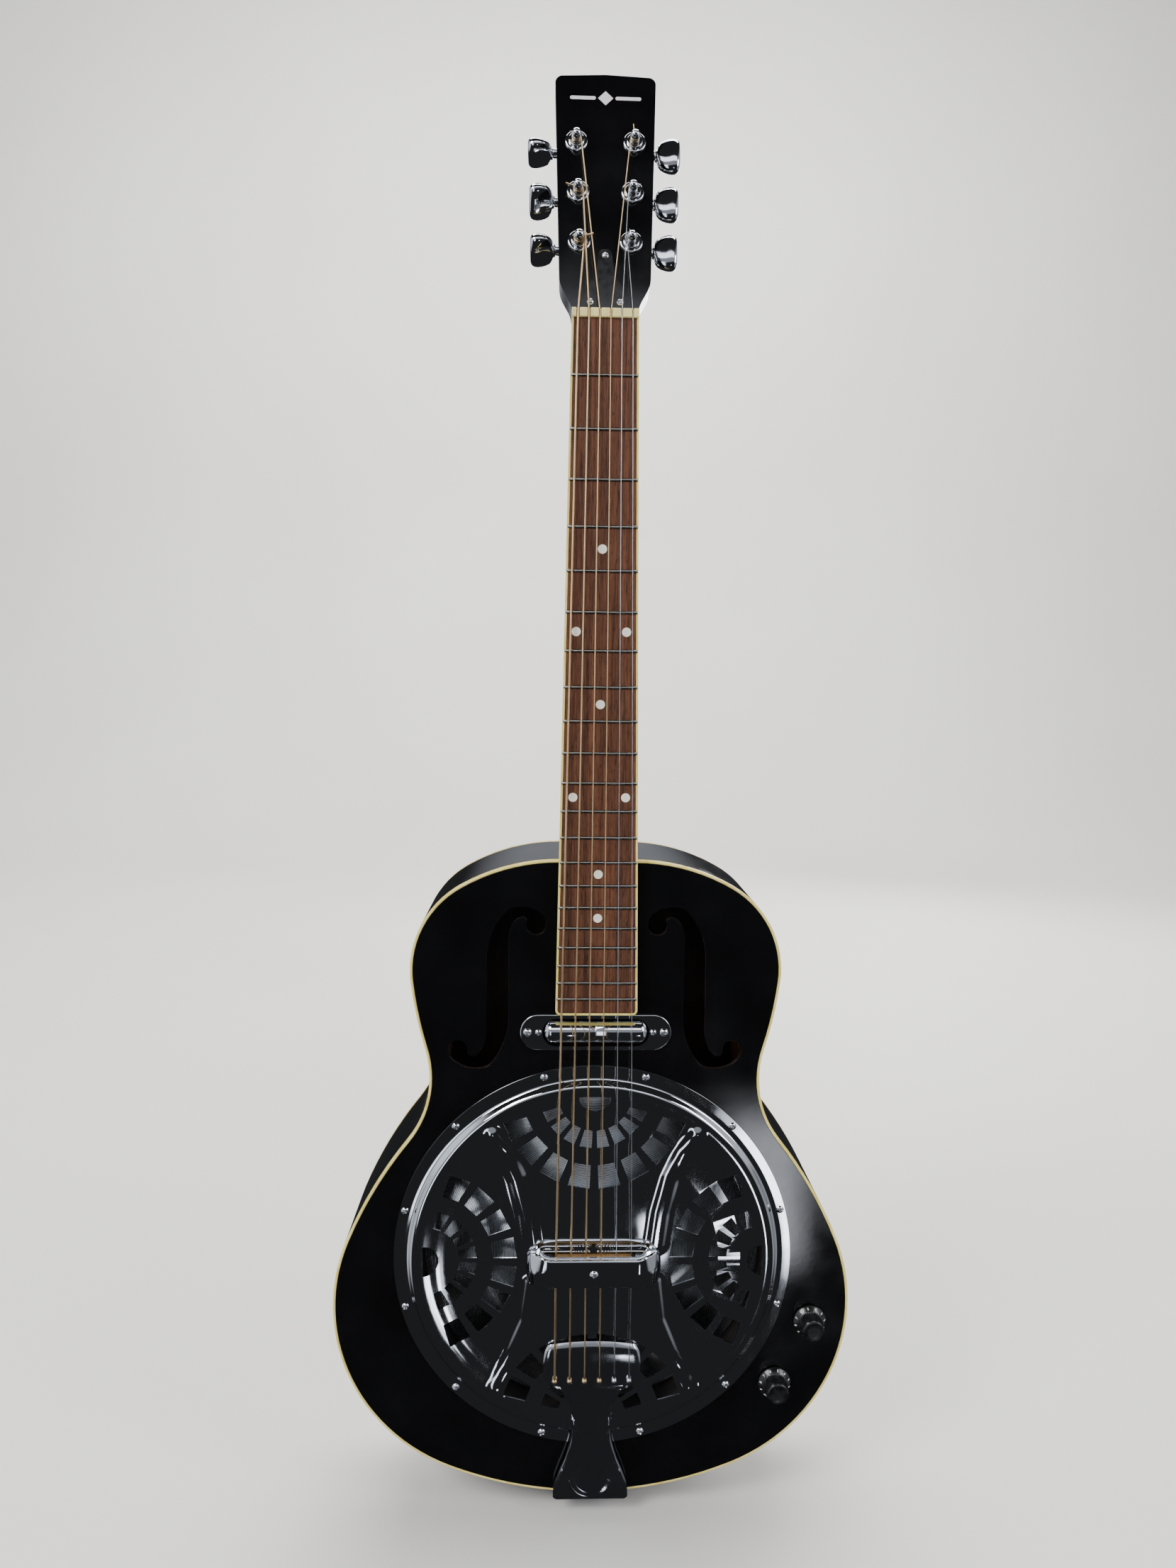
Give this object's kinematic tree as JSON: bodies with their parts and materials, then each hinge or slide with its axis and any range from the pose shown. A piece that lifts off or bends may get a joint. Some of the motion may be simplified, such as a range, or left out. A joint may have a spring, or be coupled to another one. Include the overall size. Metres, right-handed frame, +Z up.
{
  "type": "resonator guitar",
  "caption": "Flat-top resonator guitar with a metal cone under a pierced coverplate, f-holes, tube pickup, slab headstock with sealed tuners and a stamped tailpiece.",
  "frame": {"origin": "on the outer face of the back, straight behind the middle of the saddle", "axes": "+Z up the neck to the headstock, +Y out of the back, +X to the treble side; the player's side faces -Y"},
  "size_m": [0.3696, 0.1085, 0.9966],
  "materials": {
    "black_lacquer": "gloss black polyester lacquer on laminated wood",
    "wood_bare": "bare inner wood",
    "rosewood": "oiled open-pored rosewood",
    "cream_plastic": "aged cream binding",
    "white_plastic": "white position dots",
    "pearl": "pearl inlay",
    "chrome": "polished chrome plate",
    "nickel_wire": "drawn nickel silver",
    "bronze_wound": "phosphor bronze winding",
    "plain_steel": "plain tinned steel wire",
    "aluminium": "spun aluminium",
    "steel": "zinc plated steel",
    "black_plastic": "moulded black plastic",
    "copper_coil": "enamelled copper winding",
    "maple": "bare maple",
    "ceramic": "ceramic magnet"
  },
  "bodies": {
    "guitar": {"back_binding": "cream_plastic", "back_plate": "black_lacquer", "biscuit": "maple", "coverplate": "chrome", "coverplate_screws": "chrome", "end_block": "wood_bare", "fretboard": "rosewood", "fretboard_binding": "cream_plastic", "frets": "nickel_wire", "headstock_inlay": "pearl", "linings": "wood_bare", "neck": "black_lacquer", "neck_block": "wood_bare", "nut": "cream_plastic", "output_jack": "chrome", "palm_rest": "chrome", "palm_rest_screw": "chrome", "pickup_ring": "chrome", "pickup_ring_screws": "chrome", "plain_strings": "plain_steel", "position_dots": "white_plastic", "potentiometers": "steel", "resonator_cone": "aluminium", "ribs_bass": "black_lacquer", "ribs_treble": "black_lacquer", "saddle": "maple", "soundboard": "black_lacquer", "soundwell": "wood_bare", "strap_button": "chrome", "tailpiece": "chrome", "top_binding": "cream_plastic", "truss_cover_screws": "chrome", "truss_rod": "steel", "truss_rod_cover": "black_plastic", "tuner_bushings": "chrome", "tuner_housings": "chrome", "wound_strings": "bronze_wound"},
    "tuner_button_1": {"tuner_button_1": "chrome"},
    "string_post_1": {"string_post_1": "chrome"},
    "tuner_button_2": {"tuner_button_2": "chrome"},
    "string_post_2": {"string_post_2": "chrome"},
    "tuner_button_3": {"tuner_button_3": "chrome"},
    "string_post_3": {"string_post_3": "chrome"},
    "tuner_button_4": {"tuner_button_4": "chrome"},
    "string_post_4": {"string_post_4": "chrome"},
    "tuner_button_5": {"tuner_button_5": "chrome"},
    "string_post_5": {"string_post_5": "chrome"},
    "tuner_button_6": {"tuner_button_6": "chrome"},
    "string_post_6": {"string_post_6": "chrome"},
    "volume_control": {"volume_knob": "black_plastic", "volume_shaft": "steel"},
    "tone_control": {"tone_knob": "black_plastic", "tone_shaft": "steel"},
    "pickup": {"pickup_cover": "chrome", "pickup_coil": "copper_coil", "pickup_magnet": "ceramic", "pickup_base": "steel"},
    "truss_rod_nut": {"truss_rod_nut": "steel"}
  },
  "joints": [
    {"name": "tuner_6_turn", "type": "hinge", "parent": "guitar", "child": "tuner_button_6", "pos_m": [-0.0169, -0.05118, 0.68931], "axis": [1, 0, 0], "continuous": true},
    {"name": "post_6_turn", "type": "hinge", "parent": "guitar", "child": "string_post_6", "pos_m": [-0.0169, -0.07313, 0.6876], "axis": [0, -0.9744, 0.225], "continuous": true},
    {"name": "tuner_5_turn", "type": "hinge", "parent": "guitar", "child": "tuner_button_5", "pos_m": [-0.0178, -0.04333, 0.72331], "axis": [1, 0, 0], "continuous": true},
    {"name": "post_5_turn", "type": "hinge", "parent": "guitar", "child": "string_post_5", "pos_m": [-0.0178, -0.06528, 0.7216], "axis": [0, -0.9744, 0.225], "continuous": true},
    {"name": "tuner_4_turn", "type": "hinge", "parent": "guitar", "child": "tuner_button_4", "pos_m": [-0.0191, -0.03534, 0.75791], "axis": [1, 0, 0], "continuous": true},
    {"name": "post_4_turn", "type": "hinge", "parent": "guitar", "child": "string_post_4", "pos_m": [-0.0191, -0.05729, 0.7562], "axis": [0, -0.9744, 0.225], "continuous": true},
    {"name": "tuner_1_turn", "type": "hinge", "parent": "guitar", "child": "tuner_button_1", "pos_m": [0.0169, -0.05118, 0.68931], "axis": [1, 0, 0], "continuous": true},
    {"name": "post_1_turn", "type": "hinge", "parent": "guitar", "child": "string_post_1", "pos_m": [0.0169, -0.07313, 0.6876], "axis": [0, -0.9744, 0.225], "continuous": true},
    {"name": "tuner_2_turn", "type": "hinge", "parent": "guitar", "child": "tuner_button_2", "pos_m": [0.0178, -0.04333, 0.72331], "axis": [1, 0, 0], "continuous": true},
    {"name": "post_2_turn", "type": "hinge", "parent": "guitar", "child": "string_post_2", "pos_m": [0.0178, -0.06528, 0.7216], "axis": [0, -0.9744, 0.225], "continuous": true},
    {"name": "tuner_3_turn", "type": "hinge", "parent": "guitar", "child": "tuner_button_3", "pos_m": [0.0191, -0.03534, 0.75791], "axis": [1, 0, 0], "continuous": true},
    {"name": "post_3_turn", "type": "hinge", "parent": "guitar", "child": "string_post_3", "pos_m": [0.0191, -0.05729, 0.7562], "axis": [0, -0.9744, 0.225], "continuous": true},
    {"name": "volume_turn", "type": "hinge", "parent": "guitar", "child": "volume_control", "pos_m": [0.155, -0.09, -0.048], "axis": [0, -1, 0], "range_deg": [-140, 140]},
    {"name": "tone_turn", "type": "hinge", "parent": "guitar", "child": "tone_control", "pos_m": [0.1312, -0.09, -0.0946], "axis": [0, -1, 0], "range_deg": [-140, 140]},
    {"name": "pickup_height", "type": "slide", "parent": "guitar", "child": "pickup", "axis": [0, -1, 0], "range_m": [-0.002, 0.0015]},
    {"name": "truss_nut_turn", "type": "hinge", "parent": "guitar", "child": "truss_rod_nut", "pos_m": [0, -0.0765, 0.645], "axis": [0, 0, 1], "range_deg": [-180, 180]}
  ],
  "couplings": [
    {"joint": "post_6_turn", "follows": "tuner_6_turn", "ratio": 0.066667},
    {"joint": "post_5_turn", "follows": "tuner_5_turn", "ratio": 0.066667},
    {"joint": "post_4_turn", "follows": "tuner_4_turn", "ratio": 0.066667},
    {"joint": "post_1_turn", "follows": "tuner_1_turn", "ratio": -0.066667},
    {"joint": "post_2_turn", "follows": "tuner_2_turn", "ratio": -0.066667},
    {"joint": "post_3_turn", "follows": "tuner_3_turn", "ratio": -0.066667}
  ]
}
